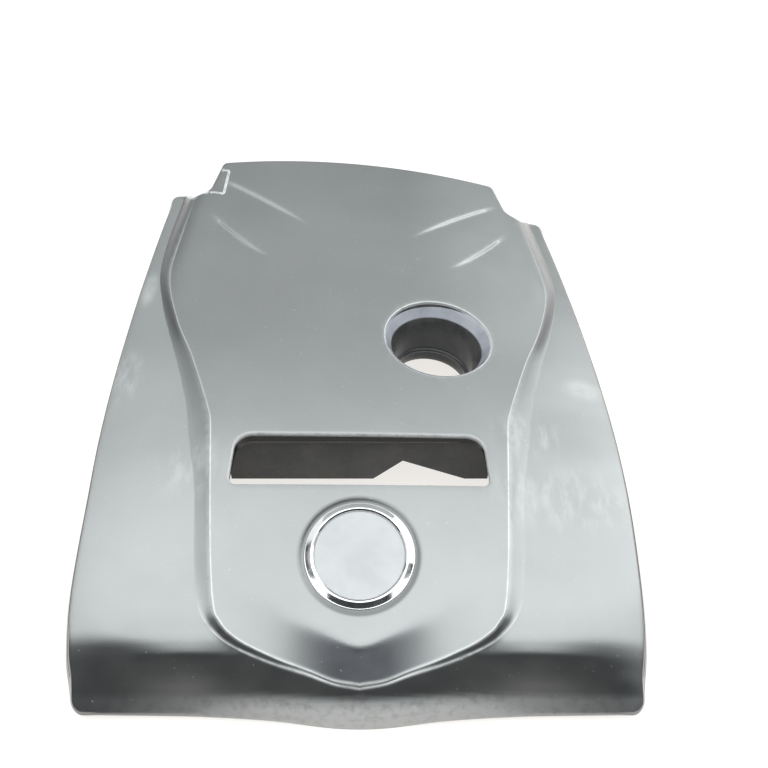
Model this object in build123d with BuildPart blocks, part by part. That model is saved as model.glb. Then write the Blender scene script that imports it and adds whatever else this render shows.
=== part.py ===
from build123d import *
import os
from bisect import bisect
from math import atan, cos, exp, radians, sin, sqrt, tan

# Engine top cover: one hollow moulding with a raised panel, a slot, a filler well and a badge.
# Millimetres, +X to the right seen from the front, +Y to the rear, +Z up, floor at Z = 0.

# Overall sizes
length = 585.0
width = 441.0
wall = 2.6

# Front lip: it bows forwards in the middle, and lifts off the floor on either side of it
lip_bow = 7.0
lip_bow_half = 75.0
lip_lift = 4.5
lip_lift_half = 38.0
lip_lift_depth = 24.0

# The rear of the cover leans over to the right-hand side
rear_roll = 5.5
roll_start = 41.0
roll_end_inset = 24.0

# Plan of the sides, from the front lip backwards
front_half = 209.0
front_corner = 22.0
widest_place = 230.0
tail_length = 32.0
flank_end_half = 208.0
flank_end_corner = 8.0
tail_half = 153.0
tail_root_half = 168.0
tail_root_radius = 20.0

# Raised panel: half widths of its shoulder and of the foot of the sloping band round it
shield_half = 106.0
shield_foot_half = 115.0
shield_tip = 17.5
shield_corner = 46.0
shield_radius = 25.0
neck_half = 122.5
neck_foot_half = 142.0
neck_place = 216.0
hip_run = 40.0
hip_spread = 13.0
haunch_half = 186.0
haunch_foot_half = 199.0
haunch_place = 405.0
taper_inset = 65.0
shoulder_taper = 7.0
foot_taper = 4.0
tail_shoulder_half = 170.0
tail_foot_half = 188.0

# Slot through the panel
slot_front = 156.5
slot_depth = 43.0
slot_half = 103.0
slot_taper = 3.0
slot_rear_radius = 14.0
slot_front_radius = 5.0
slot_collar = 11.0

# Cross wall under the panel behind the slot, with a notch in its lower edge
cross_wall_gap = 4.0
cross_wall_half = 112.0
cross_wall_foot = 31.5
notch_x = 37.0
notch_height = 24.5
notch_left = 25.0
notch_right = 55.0

# Oil-filler well
well_x = 71.5
well_place = 312.0
well_lean = 5.0
well_rim_radius = 48.5
well_chamfer_radius = 41.5
well_chamfer_depth = 12.0
well_foot_radius = 36.5
well_wall_depth = 36.0
well_ledge = 1.2
well_neck_radius = 35.0
well_neck_length = 12.0

# Badge and its seat
badge_place = 101.0
badge_radius = 42.0
badge_depth = 3.2
badge_dish_radius = 48.0
badge_dish_depth = 1.2
badge_ring_width = 5.0
badge_clearance = 0.1
badge_disc_thickness = 1.6

# Ball-stud bosses and grommets
boss_radius = 12.0
boss_front_x = 88.0
boss_front_place = 112.0
boss_front_z = 32.0
boss_rear_x = 122.0
boss_rear_inset = 95.0
boss_rear_z = 46.0
grommet_radius = 8.0
grommet_depth = 14.0
grommet_flange_radius = 11.0
grommet_flange = 2.5
grommet_clearance = 0.1
ball_radius = 5.6
ball_mouth_radius = 4.6
ball_mouth = 4.0

# Openings in the skirts and the tail wall
arch_front = 150.0
arch_rear_inset = 115.0
arch_height = 40.0
arch_radius = 22.0
tail_flange = 14.0

# Crack round the left rear corner of the panel
crack_width = 1.6
crack_inset = 2.5

front = -length / 2
rear = length / 2
flank_length = length - tail_length


def curve(points):
    """Smooth curve through (place, value) points that never overshoots them."""
    places, values = zip(*points)
    rises = [
        (values[i + 1] - values[i]) / (places[i + 1] - places[i])
        for i in range(len(places) - 1)
    ]
    slopes = [rises[0]]
    for before, after in zip(rises, rises[1:]):
        slopes.append(2 * before * after / (before + after) if before * after > 0 else 0)
    slopes.append(rises[-1])

    def value(place):
        place = min(max(place, places[0]), places[-1])
        i = min(max(bisect(places, place) - 1, 0), len(rises) - 1)
        step = places[i + 1] - places[i]
        t = (place - places[i]) / step
        start = values[i] * (1 + 2 * t) * (1 - t) ** 2 + slopes[i] * step * t * (1 - t) ** 2
        end = values[i + 1] * t * t * (3 - 2 * t) + slopes[i + 1] * step * t * t * (t - 1)
        return start + end

    return value


# Heights along the cover, as (distance behind the front lip, height)
panel_height = curve(
    [(-30, -8), (0, 16), (17, 32), (39, 51), (56, 62), (101, 74.6), (158, 88.6), (199, 97.5),
     (251, 103), (306, 106.5), (391, 111.5), (481, 117), (591, 122), (700, 126)]
)
panel_camber = curve([(101, 0), (199, 1), (306, 3), (391, 4.2), (481, 5.2), (591, 6)])
spine_height = curve(
    [(0, 3), (4, 5.5), (8, 11), (16, 26), (22, 34), (31, 45.5), (39, 53), (48, 58), (60, 62.5),
     (95, 70), (130, 77.5), (192, 89), (250, 94), (300, 96), (390, 96.5), (480, 95), (580, 90)]
)
edge_height = curve(
    [(0, 9), (19, 24), (42, 40), (67, 51), (100, 60), (130, 67), (163, 73), (204, 78),
     (249, 81), (297, 82), (355, 82), (417, 81), (491, 79.5), (580, 76)]
)
apron_steps = [0, 4, 8, 12, 16, 22, 31, 39, 48, 60, 95, 130, 192, 250, 300, 390, 480]
camber_reach = 100.0
flank_curve = 4
roll_power = 1.3

# Half widths of the panel's shoulder and foot, as (distance behind the front lip, half width)
shoulder_half = curve(
    [(shield_corner, shield_half), (neck_place, neck_half), (neck_place + hip_run, neck_half + hip_spread),
     (haunch_place, haunch_half), (length - taper_inset, tail_shoulder_half + shoulder_taper),
     (length, tail_shoulder_half)]
)
foot_half = curve(
    [(shield_corner, shield_foot_half), (neck_place, neck_foot_half),
     (haunch_place, haunch_foot_half), (length - taper_inset, haunch_foot_half - foot_taper),
     (length, tail_foot_half)]
)
root_reach = 14.0
overrun = 10.0

# Sections along the panel: those in front of the haunch, then shares of the way from there to the rear
panel_stations = [-8, 6, 20, 36, 54, 76, 101, 130, 158, 190, 216, 251, 301, 351]
panel_stations += [haunch_place + (length - haunch_place) * share for share in (0, 0.31, 0.64, 0.82)]
panel_stations += [length + overrun]


def lean(place):
    """Sideways slope of the cover, growing from the badge to the rear edge."""
    share = max(place - roll_start, 0) / (length - roll_end_inset - roll_start)
    return tan(radians(rear_roll)) * share**roll_power


def lip_y(x):
    """Front edge of the apron."""
    return front + lip_bow * (1 - exp(-((x / lip_bow_half) ** 2)))


def panel_z(x, y):
    """Top of the raised panel."""
    place = y - front
    return panel_height(place) - panel_camber(place) * (x / camber_reach) ** 2 - x * lean(place)


def flank_z(x, y):
    """Top of the flanks and the apron."""
    behind = y - lip_y(x)
    spine = spine_height(behind)
    share = (abs(x) / (width / 2)) ** flank_curve
    return spine + (edge_height(behind) - spine) * share - x * lean(y - front)


def below(surface, x, y, inset):
    """Height of a surface at a given thickness under its outside."""
    slope = surface(x, y + 0.5) - surface(x, y - 0.5)
    return surface(x, y) - inset * sqrt(1 + slope * slope)


def base_solid(inset):
    """Flanks and apron, drawn as side views across the width."""
    reach = width / 2 + overrun
    with BuildPart() as base:
        for share in (-1, -0.85, -0.62, -0.35, -0.12, 0.12, 0.35, 0.62, 0.85, 1):
            x = reach * share
            start = lip_y(x) - overrun / 2
            end = rear + overrun
            places = [start] + [lip_y(x) + step for step in apron_steps] + [end]
            with BuildSketch(Plane.YZ.offset(x)):
                with BuildLine():
                    top = Spline(*[(y, below(flank_z, x, y, inset)) for y in places])
                    Polyline(top @ 1, (end, -4 * inset), (start, -4 * inset), top @ 0)
                make_face()
        loft()
    return base.part


def panel_solid(inset):
    """Raised panel, drawn as sections along the length, its front trimmed to a shield point."""
    with BuildPart() as panel:
        for place in panel_stations:
            y = front + place
            shoulder = shoulder_half(place) - inset
            foot = foot_half(place) - inset
            spread = (foot + root_reach - shoulder) / (foot - shoulder)
            with BuildSketch(Plane.XZ.offset(-y)):
                with BuildLine():
                    across = [shoulder * k / 2 for k in (-2, -1, 0, 1, 2)]
                    top = Spline(*[(x, below(panel_z, x, y, inset)) for x in across])
                    roots = []
                    for side in (-1, 1):
                        fall = panel_z(side * shoulder, y) - flank_z(side * foot, y)
                        rim = below(panel_z, side * shoulder, y, inset)
                        roots.append((side * (foot + root_reach), rim - spread * max(fall, wall)))
                    Polyline(top @ 1, roots[1], roots[0], top @ 0)
                make_face()
        loft()
        with BuildSketch(Plane.XY.offset(-width)) as shield:
            tip_y = front + shield_tip + inset
            corner_y = front + shield_corner + inset
            neck_y = front + neck_place
            neck_x = neck_foot_half + overrun - inset
            end_y = rear + 2 * overrun
            with BuildLine():
                Polyline(
                    (0, tip_y), (shield_half - inset, corner_y), (neck_x, neck_y), (width, neck_y),
                    (width, end_y), (0, end_y),
                )
                mirror(about=Plane.YZ)
            make_face()
            corners = shield.vertices().filter_by_position(Axis.Y, corner_y - 0.1, corner_y + 0.1)
            fillet(corners, shield_radius - inset)
        extrude(amount=2 * width, mode=Mode.INTERSECT)
    return panel.part


def plan_solid(inset):
    """Upright prism of the cover's plan, with the flanks ending short of the tail."""
    lip_half = front_half - inset
    side = width / 2 - inset
    side_y = front + widest_place
    end_half = flank_end_half - inset
    end_y = front + flank_length - inset
    root_half = tail_root_half - inset
    tail = tail_half - inset
    with BuildPart() as plan:
        with BuildSketch(Plane.XY.offset(-5 * inset)) as outline:
            with BuildLine():
                lip_x = [lip_half * k / 8 for k in range(-8, 9)]
                lip = Spline(*[(x, lip_y(x) + inset) for x in lip_x])
                TangentArc((side, side_y), lip @ 1, tangent=(0, -1))
                TangentArc((-side, side_y), lip @ 0, tangent=(0, -1))
                TangentArc((side, side_y), (end_half, end_y), tangent=(0, 1))
                TangentArc((-side, side_y), (-end_half, end_y), tangent=(0, 1))
                Polyline(
                    (end_half, end_y), (root_half, end_y), (tail, rear - inset),
                    (-tail, rear - inset), (-root_half, end_y), (-end_half, end_y),
                )
            make_face()
            fillet(outline.vertices().group_by(Axis.Y)[0], front_corner - inset)
            ends = outline.vertices().filter_by_position(Axis.Y, end_y - 0.1, end_y + 0.1).sort_by(Axis.X)
            fillet([ends[0], ends[-1]], flank_end_corner - inset)
            fillet(ends[1:-1], tail_root_radius + inset)
        extrude(amount=2 * width)
    return plan.part


def hood(inset):
    """Solid bounded by the cover's outside, moved in by a thickness."""
    base = base_solid(inset)
    panel = panel_solid(inset)
    plan = plan_solid(inset)
    with BuildPart() as body:
        add(base)
        add(panel)
        add(plan, mode=Mode.INTERSECT)
    return body.part


# Places of the features on the panel
badge_y = front + badge_place
badge_rise = panel_z(0, badge_y + badge_radius) - panel_z(0, badge_y - badge_radius)
badge_slope = atan(badge_rise / (2 * badge_radius))
badge_plane = Plane(
    origin=(0, badge_y, panel_z(0, badge_y)),
    x_dir=(1, 0, 0),
    z_dir=(0, -sin(badge_slope), cos(badge_slope)),
)
slot_y = front + slot_front
slot_floor = panel_z(0, slot_y + slot_depth) - slot_collar
well_y = front + well_place
well_plane = Plane(
    origin=(well_x, well_y, panel_z(well_x, well_y)),
    x_dir=(cos(radians(well_lean)), 0, -sin(radians(well_lean))),
    z_dir=(sin(radians(well_lean)), 0, cos(radians(well_lean))),
)
bosses = {
    "front_left": (-boss_front_x, front + boss_front_place, boss_front_z),
    "front_right": (boss_front_x, front + boss_front_place, boss_front_z),
    "rear_left": (-boss_rear_x, rear - boss_rear_inset, boss_rear_z),
    "rear_right": (boss_rear_x, rear - boss_rear_inset, boss_rear_z),
}


def slot_outline(grow, level):
    """Slot in plan: tight front corners, easy rear corners."""
    with BuildSketch(Plane.XY.offset(level)) as outline:
        with BuildLine():
            Polyline(
                (-slot_half, slot_y),
                (slot_half, slot_y),
                (slot_half - slot_taper, slot_y + slot_depth),
                (-slot_half + slot_taper, slot_y + slot_depth),
                close=True,
            )
        make_face()
        fillet(outline.vertices().group_by(Axis.Y)[0], slot_front_radius)
        fillet(outline.vertices().group_by(Axis.Y)[-1], slot_rear_radius)
        if grow:
            offset(amount=grow)
    return outline.sketch


def well_outline(grow):
    """Half section of the well's bore, from its axis."""
    above = 2 * well_chamfer_depth
    spread = (well_rim_radius - well_chamfer_radius) / well_chamfer_depth
    foot = -well_chamfer_depth - well_wall_depth
    end = foot - well_neck_length
    with BuildSketch(Plane(well_plane.origin, x_dir=well_plane.x_dir, z_dir=-well_plane.y_dir)) as outline:
        with BuildLine():
            Polyline(
                (0, above),
                (well_rim_radius + spread * above + grow, above),
                (well_chamfer_radius + grow, -well_chamfer_depth),
                (well_foot_radius + grow, foot),
                (well_neck_radius + grow, foot - well_ledge),
                (well_neck_radius + grow, end),
                (0, end),
                close=True,
            )
        make_face()
    return outline.sketch


outside = hood(0)
inside = hood(wall)
slot_hole = slot_outline(0, slot_floor - slot_collar)
slot_rim = slot_outline(wall, slot_floor)
well_bore = well_outline(0)
well_tube = well_outline(wall)
well_axis = Axis(well_plane.origin, well_plane.z_dir)

# What stands on the underside: slot collar, cross wall, filler well, badge seat and stud bosses
with BuildPart() as fittings:
    extrude(slot_rim, amount=width)
    with BuildSketch(Plane.XZ.offset(-slot_y - slot_depth - cross_wall_gap - 2 * wall)):
        with BuildLine():
            Polyline(
                (-cross_wall_half, width),
                (-cross_wall_half, cross_wall_foot),
                (notch_x - notch_left, cross_wall_foot),
                (notch_x, cross_wall_foot + notch_height),
                (notch_x + notch_right, cross_wall_foot),
                (cross_wall_half, cross_wall_foot),
                (cross_wall_half, width),
                close=True,
            )
        make_face()
    extrude(amount=wall)
    revolve(well_tube, axis=well_axis)
    with BuildSketch(badge_plane.offset(-badge_depth - wall)):
        Circle(badge_radius + wall)
    extrude(amount=badge_depth + wall)
    for x, y, z in bosses.values():
        with BuildSketch(Plane.XY.offset(z)):
            with Locations((x, y)):
                Circle(boss_radius)
        extrude(amount=width)
    add(outside, mode=Mode.INTERSECT)

# The moulding
with BuildPart() as cover_shell:
    add(outside)
    add(inside, mode=Mode.SUBTRACT)

    # Lower edge of the lip
    with BuildSketch(Plane.XZ.offset(-front - lip_lift_depth)):
        with BuildLine():
            lift_x = [width / 2 * k / 16 for k in range(-16, 17)]
            lift = Spline(*[(x, lip_lift * (1 - exp(-((x / lip_lift_half) ** 2)))) for x in lift_x])
            Polyline(lift @ 1, (width / 2, -wall), (-width / 2, -wall), lift @ 0)
        make_face()
    extrude(amount=lip_lift_depth + overrun, mode=Mode.SUBTRACT)

    # Side skirts arch up between their feet
    arch_rear = flank_length - arch_rear_inset
    with BuildSketch(Plane.YZ.offset(-width)) as arch:
        with BuildLine():
            Polyline(
                (front + arch_front, -arch_height),
                (front + arch_rear, -arch_height),
                (front + arch_rear, arch_height),
                (front + arch_front, arch_height),
                close=True,
            )
        make_face()
        fillet(arch.vertices().group_by(Axis.Y)[-1], arch_radius)
    extrude(amount=2 * width, mode=Mode.SUBTRACT)

    # Tail wall is only a flange under the rear edge
    with BuildSketch(Plane.XZ.offset(-rear - wall)):
        with BuildLine():
            side_x = tail_half - tail_flange
            under_edge = [
                (x, panel_z(x, rear) - tail_flange)
                for x in (side_x, side_x / 2, 0, -side_x / 2, -side_x)
            ]
            Polyline((-side_x, -wall), (side_x, -wall), *under_edge, close=True)
        make_face()
    extrude(amount=3 * wall, mode=Mode.SUBTRACT)

    add(fittings.part)

    # Slot and filler well
    extrude(slot_hole, amount=width, mode=Mode.SUBTRACT)
    revolve(well_bore, axis=well_axis, mode=Mode.SUBTRACT)

    # Dished badge seat
    with BuildSketch(Plane(badge_plane.origin, x_dir=(1, 0, 0), z_dir=-badge_plane.y_dir)):
        with BuildLine():
            Polyline(
                (0, -badge_depth),
                (badge_radius, -badge_depth),
                (badge_radius, -badge_dish_depth),
                (badge_dish_radius, 0),
                (badge_dish_radius, badge_radius),
                (0, badge_radius),
                close=True,
            )
        make_face()
    revolve(axis=Axis(badge_plane.origin, badge_plane.z_dir), mode=Mode.SUBTRACT)

    # Sockets for the grommets
    for x, y, z in bosses.values():
        with BuildSketch(Plane.XY.offset(z)):
            with Locations((x, y)):
                Circle(grommet_radius)
        extrude(amount=grommet_depth, mode=Mode.SUBTRACT)

    # Crack round the left rear corner, stopping just short of the edges
    with BuildSketch(Plane.XY.offset(panel_z(0, rear) / 2)):
        with BuildLine():
            flank_end = front + flank_length
            Polyline(
                (-tail_half - crack_inset, rear - 18),
                (-tail_half + 8.5, rear - 19.5),
                (-tail_half + 7, flank_end - 30),
                (-tail_half - 7, flank_end - 13),
                (-tail_half - 17, flank_end - 7),
                (-flank_end_half + 19, flank_end - 5.5),
            )
        trace(line_width=crack_width)
    extrude(amount=width, mode=Mode.SUBTRACT)
cover_shell.part.label = "cover_shell"

# Badge: bright ring round a plain disc
ring_inner = badge_radius - badge_ring_width
with BuildPart() as badge_ring:
    with BuildSketch(badge_plane.offset(-badge_depth)):
        Circle(badge_radius - badge_clearance)
        Circle(ring_inner, mode=Mode.SUBTRACT)
    extrude(amount=badge_depth)
    top = badge_ring.faces().sort_by(Axis(badge_plane.origin, badge_plane.z_dir))[-1]
    fillet(top.edges(), badge_ring_width / 4)
badge_ring.part.label = "badge_ring"

with BuildPart() as badge_disc:
    with BuildSketch(badge_plane.offset(-badge_depth)):
        Circle(ring_inner - badge_clearance)
    extrude(amount=badge_disc_thickness)
badge_disc.part.label = "badge_disc"

# Rubber ball-stud grommets
grommets = []
for place, (x, y, z) in bosses.items():
    ball_z = z - grommet_flange + ball_mouth + sqrt(ball_radius**2 - ball_mouth_radius**2)
    with BuildPart() as grommet:
        with BuildSketch(Plane.XY.offset(z - grommet_flange)):
            with Locations((x, y)):
                Circle(grommet_flange_radius)
        extrude(amount=grommet_flange)
        with BuildSketch(Plane.XY.offset(z)):
            with Locations((x, y)):
                Circle(grommet_radius - grommet_clearance)
        extrude(amount=grommet_depth - grommet_clearance)
        with BuildSketch(Plane.XY.offset(z - grommet_flange)):
            with Locations((x, y)):
                Circle(ball_mouth_radius)
        extrude(amount=ball_z - z + grommet_flange, mode=Mode.SUBTRACT)
        with Locations((x, y, ball_z)):
            Sphere(ball_radius, mode=Mode.SUBTRACT)
    grommet.part.label = "grommet_" + place
    grommets.append(grommet.part)

os.makedirs("parts", exist_ok=True)
for piece in [cover_shell.part, badge_ring.part, badge_disc.part] + grommets:
    export_step(piece, "parts/" + piece.label + ".step")
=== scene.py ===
import bmesh
import bpy
import numpy as np
from math import atan, cos, pi, radians, sin, tan
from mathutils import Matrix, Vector
from mathutils.geometry import delaunay_2d_cdt


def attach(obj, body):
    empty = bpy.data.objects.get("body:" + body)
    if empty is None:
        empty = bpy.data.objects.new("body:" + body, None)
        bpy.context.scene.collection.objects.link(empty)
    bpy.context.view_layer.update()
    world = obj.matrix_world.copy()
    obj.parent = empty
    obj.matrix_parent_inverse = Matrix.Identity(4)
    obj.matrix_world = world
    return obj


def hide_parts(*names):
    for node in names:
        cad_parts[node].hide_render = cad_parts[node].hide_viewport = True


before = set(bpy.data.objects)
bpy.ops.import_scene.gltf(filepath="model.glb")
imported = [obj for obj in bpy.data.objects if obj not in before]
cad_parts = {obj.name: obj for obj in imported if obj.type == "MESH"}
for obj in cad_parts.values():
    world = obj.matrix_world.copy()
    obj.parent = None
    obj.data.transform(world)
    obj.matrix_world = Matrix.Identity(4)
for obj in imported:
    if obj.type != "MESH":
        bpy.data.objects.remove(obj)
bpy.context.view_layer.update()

# Sizes are in millimetres. A place is a distance behind the front lip. A pair whose name ends in RUN says
# where a soft change starts and ends.
MM = 0.001

# Plan of the cover
LENGTH, WIDTH, WALL = 585, 441, 2.6
FRONT, REAR = -LENGTH / 2, LENGTH / 2
LIP_BOW, LIP_BOW_HALF = 7, 75
LIP_LIFT, LIP_LIFT_HALF, LIP_LIFT_DEPTH, LIP_RECESS = 4.5, 38, 24, 0.8
FRONT_HALF, FRONT_CORNER = 209, 9
FRONT_FLARE, FLARE_IN_RUN, FLARE_OUT_RUN = 2, (LIP_BOW, 40), (60, 170)
FRONT_SHIFT, SHIFT_RUN = 2.5, (120, 200)
WIDEST, FLANK_LENGTH, FLANK_END_HALF, FLANK_CORNER = 230, 553, 208, 8
TAIL_HALF, TAIL_CORNER, TAIL_FLANGE = 153, 7, 14
# Notch between each flank and the tail, as (half width, place) corners and their radii
NOTCH = ((190, 551), (179, 530.5), (163, 533))
NOTCH_RADII = (7, 6, 11)
PLAN_STEP = 2

# Form of the top
ROLL, ROLL_START, ROLL_SPAN, ROLL_POWER = 5.5, 41, 520, 1.3
CAMBER_HALF = 100
KEEL_PLACE, KEEL_SWEEP, KEEL_BLUNT, KEEL_SOFT, KEEL_SOFTEN = 35.5, 0.5, 8, 0.9, 0.035
NOSE_HALF = 95
APRON_IN_RUN, APRON_OUT_RUN, LIP_SIDE_RUN = (85, 125), (132, 190), (70, 130)
SHIELD_RUN, HAUNCH_RUN = (50, 90), (330, 430)
SHOULDER_ROUND, SHOULDER_DROP = 16, 3
BAND_POWER, BAND_SHIELD_POWER, BAND_HAUNCH_POWER, BAND_HOLLOW = 1.25, 0.1, 0.2, 0.25
BEAD, SHIELD_BEAD, FOOT_BEAD, BEAD_HALF, BEAD_RUN = 0.1, 0.12, 0.25, 0.7, (380, 520)
WALL_STRETCH, UNDER_LEAST = 1.7, 0.3
# Crisp shoulder of the raised panel and the soft foot of the band round it, right-hand half, as
# (half width, place); the same number of points in each
SHOULDER = [
    (0, 17.2), (18, 19.5), (36, 25), (56, 30.7), (72, 36.2), (83, 40.4), (91, 44.6), (97, 48.8),
    (101.5, 54.1), (104.4, 58), (106.6, 66), (108.8, 78), (112.3, 105), (117.5, 158), (122.5, 210),
    (127, 228), (135, 251), (150, 291), (163, 320), (173, 348), (181, 375), (185.6, 401), (185.7, 424),
    (183, 459), (180, 495), (175, 545), (169, 592)
]
FOOT = [
    (0, 15.3), (18.6, 17.7), (37, 22.6), (57.5, 27.9), (74.5, 33), (87.5, 37.8), (97.5, 42.3),
    (105.5, 48.1), (111, 53.6), (115, 59), (118.4, 67), (121.6, 79.5), (125.6, 106), (131.2, 158),
    (141.5, 207), (145.5, 229), (151, 250), (163, 288), (174, 320), (183, 347), (190.5, 374), (196.5, 400),
    (199, 424), (198.7, 457), (196.5, 496), (193, 546), (188, 592)
]
EDGE_PER_SPAN = 8
# Rear creases, as side and (distance from the middle, place) of the outer end, the middle and the inner end
CREASES = (
    (-1, ((137, 540), (100, 508), (59, 474))), (-1, ((146, 478), (122, 447), (94, 422))),
    (1, ((137, 528), (100, 496), (59, 462))), (1, ((146, 473), (122, 442), (94, 417))),
)
CREASE_RISE, CREASE_RUN, CREASE_LEAN, CREASE_SINK, CREASE_CLEAR = 1.9, 4.2, 0.77, 26, 20
# Shares of a crease's way inwards between which it rises and fades, and how far past its ends it is followed
CREASE_OUTER_RUN, CREASE_INNER_RUN, CREASE_PAST = (-0.22, 0.08), (1.15, 0.55), 0.3
CREASE_PROBE, CREASE_FULL = 1.5, 1.2

# Rounded edges and side skirts
EDGE_ROUND, EDGE_SHARE, EDGE_LEAST = 5, 0.32, 0.9
EDGE_STEPS = (0, 0.05, 0.2, 0.4, 0.6, 0.75, 0.86, 0.94, 1)
LIP_EDGE_THINNER, LIP_EDGE_RUN = 3.9, (10, 30)
DRAFT_DROP, DRAFT_SHARE, DRAFT_SIDE_RUN, DRAFT_PLACE_RUN = 1.8, 0.4, (188, 203), (515, 545)
ARCH_START, ARCH_END, ARCH_HEIGHT, ARCH_ROUND = 150, 438, 40, 22
SKIRT_ROWS, SKIRT_MID, LIP_MID, LIP_FACE, LIP_FACE_MOST = (0.4, 0.75, 1), 0.62, 0.6, 0.8, 1
AT_REAR, NEAR = 0.5, 0.01

# Slot and the dark notched wall behind it, which stands in for the shade seen through the slot; its lower
# edge is (x, height) corners
SLOT_FRONT, SLOT_DEPTH, SLOT_HALF, SLOT_TAPER, SLOT_CORNERS = 156.5, 43, 103, 3, (5, 14)
SLOT_ROUND, SLOT_COLLAR, SLOT_COLLAR_LEAST, SLOT_FOOT_ROUND = 2.7, 11, 0.3, 0.5
SLOT_STEP, SLOT_RINGS, SLOT_ROWS = 1, (0, 0.05, 0.18, 0.4, 0.7, 1), (0.05, 0.35, 0.7, 0.93)
SHADE_WALL = [(-112, 31.5), (12, 31.5), (37, 56), (92, 31.5), (112, 31.5)]
SHADE_WALL_GAP, SHADE_WALL_ROOT, SHADE_WALL_ROWS = 4, 1, (0, 0.33, 0.67, 1)

# Filler well, which leans to the right: its edge as (distance out, drop), then its chamfer and its beaded
# tube, inside and outside, as (radius, height along the axis)
WELL_X, WELL_PLACE, WELL_LEAN, WELL_RADIUS, WELL_TUBE_STEP = 71.5, 312, radians(5), 48.5, 0.9
WELL_STEPS, WELL_FIT_ROUNDS = 96, 6
WELL_EDGE = ((0, 0.9), (0.25, 0.42), (0.7, 0.12), (1.3, 0))
WELL_CHAMFER = ((48, -1.6), (47.2, -2.6), (44.6, -7.2), (42.2, -11.2))
WELL_TUBE = (
    (41.5, -12.2), (41, -13.4), (40.2, -19), (39.1, -28), (38, -37), (37.2, -43.5), (36.9, -45.4),
    (37.6, -46.2), (37.6, -47), (36.5, -47.8), (36, -48.4), (36.4, -49), (36.2, -49.8), (35, -50.4),
    (35, -55), (35, -59.6), (35.4, -60), (37.2, -60), (37.6, -59.6), (37.6, -51), (39.1, -47.4),
    (41.6, -30), (44.1, -12.6)
)

# Badge: its seat as (radius, height) rings, the ring's top as (share of its width, drop) and the disc
BADGE_PLACE, BADGE_RADIUS, BADGE_DEPTH, BADGE_STEPS = 101, 42, 3.2, 120
BADGE_DISH, DISH_DEPTH = 47, 2.9
SEAT_RINGS = (BADGE_RADIUS, 43.2, 44.5, 46, 47.5, 49)
SEAT_FLOOR = ((BADGE_RADIUS, 0.2 - BADGE_DEPTH), (BADGE_RADIUS - 1, -BADGE_DEPTH), (20, -BADGE_DEPTH),
              (0.6, -BADGE_DEPTH))
RING_INNER, RING_OUTER, LATHE_STEPS = 34.5, 41.9, 160
RING_TOP = ((0, 1.3), (0.03, 1), (0.07, 0.78), (0.17, 0.2), (0.21, 0.05), (0.25, 0), (0.31, 0.09),
            (0.39, 0.38), (0.86, 2.2), (0.9, 2.33), (0.96, 2.4), (1, 2.75))
DISC_RADIUS, DISC_TOP, DISC_DOME, DISC_BEVEL = 34.4, -1.6, 0.4, 0.3
# Rounded edge of the disc's face, as (distance in, drop), and the radii of its domed rings
DISC_EDGE = ((0, 0.75), (0.15, 0.5), (0.6, 0.4))
DISC_RINGS = (32, 26, 20, 14, 8, 3, 0.5)

# Stud bosses as (x, y, height of the foot), and their (radius, height over the foot) rings; the last two
# rings are rooted in the wall
BOSSES = ((-88, -180.5, 32), (88, -180.5, 32), (-122, 197.5, 46), (122, 197.5, 46))
BOSS_PROFILE = ((0.4, 14), (7.6, 14), (8, 13.6), (8, 0.5), (8.5, 0), (11.5, 0), (12, 0.5),
                (12, None), (0.4, None))
BOSS_STEPS, BOSS_ROOT = 48, 1.2

# Crack round the left rear corner, as (x, place): the slit, and the white line that it is part of
CRACK = [(-150.5, 566.9), (-144.6, 565.6), (-144.4, 556), (-145.2, 540), (-146, 524.8), (-150, 525.6),
         (-156.5, 527.4)]
WHITE_LINE_START = [(-156.4, 566.9)]
WHITE_LINE_END = [(-162.5, 529.6), (-171, 528.4), (-178, 527.3), (-182.5, 530), (-188.5, 541)]
CRACK_PER_SPAN, CRACK_HALF, CRACK_WAVER, CRACK_WAVE, CRACK_TIP = 4, 0.32, 0.12, 1.9, 0.15

# Mesh: grids as (start place, end place, step), and lines that it follows beside the edges and the crack
TOP_GRID = ((0, 72, 2.4), (72, 160, 3.2), (160, 400, 4), (400, LENGTH, 3))
INSIDE_GRID = ((0, 72, 4), (72, LENGTH, 7))
ROW_PITCH, GRID_CLEARANCE, LINE_CLEARANCE = 0.866, 0.5, 0.6
EDGE_LINES, BAND_LINES, LINE_INSET, LINE_INSET_SHARE = (0.5, 1.1, 2), (0.3, 0.5, 0.7), 0.55, 0.2
CRACK_LINES = (-1.7, -1, 1, 1.7)
CREASE_LINES, CREASE_POINTS = (-0.5, -0.25, 0, 0.25, 0.5), 20
INSIDE_SHOULDER = 0.985
SAME_POINT, SAME_VERTEX, SHARP_ANGLE = 1e-5, 1e-6, radians(50)

# Dust with painted sheen on the top: what the rear has and what is added towards the front, then where there
# is more or less, as painted highlights, sheen and shade
FLANK_DUST_AND_SHEEN, PANEL_DUST_AND_SHEEN, DUST_AND_SHEEN_RUN, CREASE_HIGHLIGHT = (0.68, 0.32), (0.42, 0.58), (60, 330), 0.5
# Painted sheen on the right of the panel, which leans to the right
RIGHT_SHEEN, RIGHT_SHEEN_X_RUN, RIGHT_SHEEN_RUN = 0.3, (40, 150), (250, 340)
# Painted shade in the badge's dish
DISH_SHADE, DISH_SHADE_PAST, DISH_SHADE_SOFT = 0.55, 1, 2.5
# Painted shade on the left of the apron, below a line that falls towards the shield
SHADE_PLACE, SHADE_CLIMB, SHADE_CLIMB_RUN, SHADE_SOFT, SHADE_X_RUN = 35, 14, (120, 205), 12, (100, 125)
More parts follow.
